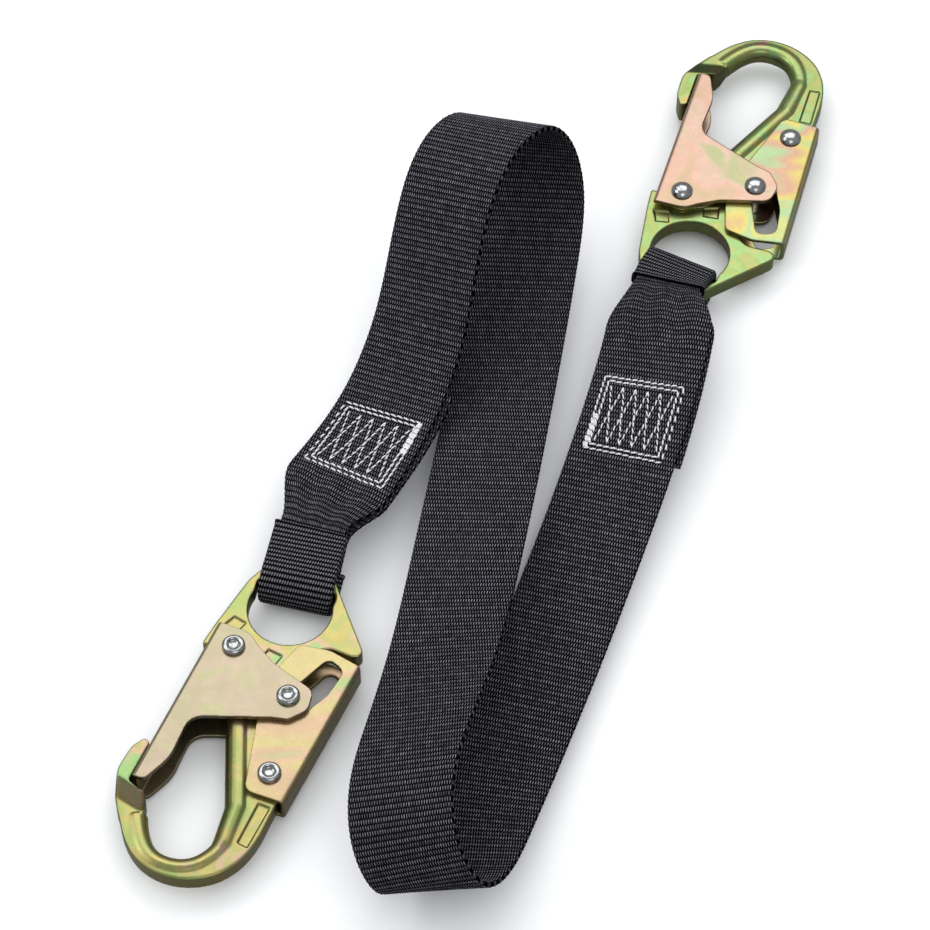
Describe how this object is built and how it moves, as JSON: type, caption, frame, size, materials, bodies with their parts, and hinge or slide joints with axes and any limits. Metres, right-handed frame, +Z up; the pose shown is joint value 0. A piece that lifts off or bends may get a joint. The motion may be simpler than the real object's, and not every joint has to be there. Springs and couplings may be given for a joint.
{
  "type": "webbing lanyard with double-locking snap hooks",
  "caption": "Black webbing restraint lanyard folded in an S, with a double-locking snap hook sewn into a sleeved loop at each end.",
  "frame": {"origin": "on the surface the lanyard lies on, under the middle of its bounding box", "axes": "+Z up from the surface; +Y along the length of the folded lanyard, towards the hook that lies face down; +X to its right"},
  "size_m": [0.2466, 0.37, 0.073],
  "materials": {
    "zinc_forging": "satin yellow zinc plating, iridescent",
    "zinc_gate": "satin yellow zinc plating, pale and pinkish",
    "zinc_lever": "satin yellow zinc plating, golden",
    "bright_rivet": "bright zinc",
    "spring_wire": "drawn wire",
    "black_webbing": "woven polyester webbing",
    "black_sleeve": "woven tubular webbing",
    "white_thread": "twisted polyester thread"
  },
  "bodies": {
    "root": {"webbing_strap": "black_webbing", "left_wear_sleeve": "black_sleeve", "right_wear_sleeve": "black_sleeve", "left_box_stitching": "white_thread", "right_box_stitching": "white_thread"},
    "left_hook": {"left_hook_body": "zinc_forging", "left_gate_pivot_rivet": "bright_rivet", "left_lever_pivot_rivet": "bright_rivet", "left_gate_spring": "spring_wire", "left_lever_spring": "spring_wire"},
    "left_gate": {"left_gate": "zinc_gate", "left_gate_lock_rivet": "bright_rivet", "left_lock_roller": "bright_rivet"},
    "left_lever": {"left_lock_lever": "zinc_lever"},
    "right_hook": {"right_hook_body": "zinc_forging", "right_gate_pivot_rivet": "bright_rivet", "right_lever_pivot_rivet": "bright_rivet", "right_gate_spring": "spring_wire", "right_lever_spring": "spring_wire"},
    "right_gate": {"right_gate": "zinc_gate", "right_gate_lock_rivet": "bright_rivet", "right_lock_roller": "bright_rivet"},
    "right_lever": {"right_lock_lever": "zinc_lever"}
  },
  "joints": [
    {"name": "left_hook_swing", "type": "hinge", "parent": "root", "child": "left_hook", "pos_m": [-0.06583, -0.05765, 0.00955], "axis": [0.9703, -0.2419, 0], "range_deg": [-90, 90]},
    {"name": "left_gate_open", "type": "hinge", "parent": "left_hook", "child": "left_gate", "pos_m": [-0.08677, -0.0869, 0.00955], "axis": [0, 0, 1], "range_deg": [0, 25], "deforming": ["left_gate_spring"]},
    {"name": "left_lever_press", "type": "hinge", "parent": "left_hook", "child": "left_lever", "pos_m": [-0.07352, -0.13403, 0.00955], "axis": [0, 0, 1], "range_deg": [0, 8], "deforming": ["left_lever_spring"]},
    {"name": "right_hook_swing", "type": "hinge", "parent": "root", "child": "right_hook", "pos_m": [0.06505, 0.07208, 0.00895], "axis": [0.891, -0.454, 0], "range_deg": [-90, 90]},
    {"name": "right_gate_open", "type": "hinge", "parent": "right_hook", "child": "right_gate", "pos_m": [0.06843, 0.1079, 0.00895], "axis": [0, 0, -1], "range_deg": [0, 25], "deforming": ["right_gate_spring"]},
    {"name": "right_lever_press", "type": "hinge", "parent": "right_hook", "child": "right_lever", "pos_m": [0.10934, 0.13476, 0.00895], "axis": [0, 0, -1], "range_deg": [0, 8], "deforming": ["right_lever_spring"]}
  ],
  "couplings": [
    {"joint": "left_lever_press", "follows": "left_gate_open", "ratio": 0.32},
    {"joint": "right_lever_press", "follows": "right_gate_open", "ratio": 0.32}
  ]
}
